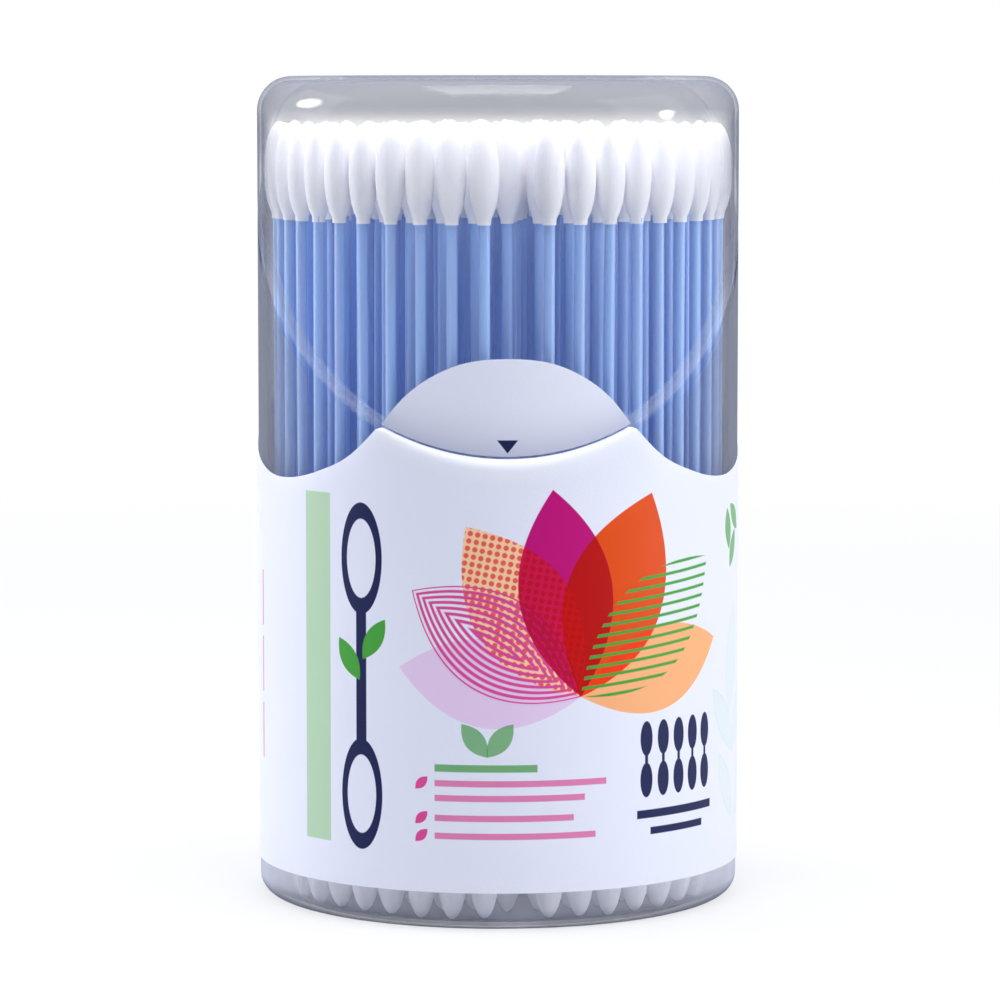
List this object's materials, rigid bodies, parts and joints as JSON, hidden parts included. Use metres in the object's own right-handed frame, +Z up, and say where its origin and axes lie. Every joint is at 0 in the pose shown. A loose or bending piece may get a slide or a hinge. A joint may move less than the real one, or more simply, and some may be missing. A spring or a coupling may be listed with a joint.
{
  "type": "cotton swab tub",
  "caption": "Clear round tub full of upright cotton swabs, with a slanted hinged lid, a push spot at the front and a wrap-round printed film.",
  "frame": {"origin": "middle of the base, on the surface that the tub stands on", "axes": "+Z up along the tub's axis, -Y to the front with the push spot, +X to the right as seen from the front"},
  "size_m": [0.0472, 0.0473, 0.0802],
  "materials": {
    "clear_plastic": "clear polypropylene, glossy, faintly grey",
    "label_film": "satin white film with printed shapes",
    "stick": "light blue plastic stick, satin",
    "cotton": "wound white cotton, matt and slightly fluffy"
  },
  "bodies": {
    "tub": {"tub_body": "clear_plastic", "hinge_web": "clear_plastic", "body_label": "label_film", "centre_stick": "stick", "row_1_sticks": "stick", "row_2_sticks": "stick", "row_3_sticks": "stick", "row_4_sticks": "stick", "row_5_sticks": "stick", "centre_upper_bud": "cotton", "row_1_upper_buds": "cotton", "row_2_upper_buds": "cotton", "row_3_upper_buds": "cotton", "row_4_upper_buds": "cotton", "row_5_upper_buds": "cotton", "centre_lower_bud": "cotton", "row_1_lower_buds": "cotton", "row_2_lower_buds": "cotton", "row_3_lower_buds": "cotton", "row_4_lower_buds": "cotton", "row_5_lower_buds": "cotton"},
    "lid": {"lid": "clear_plastic", "lid_label": "label_film"}
  },
  "joints": [
    {"name": "lid_hinge", "type": "hinge", "parent": "tub", "child": "lid", "pos_m": [0, 0.01276, 0.08015], "axis": [-1, 0, 0], "range_deg": [0, 120]}
  ]
}
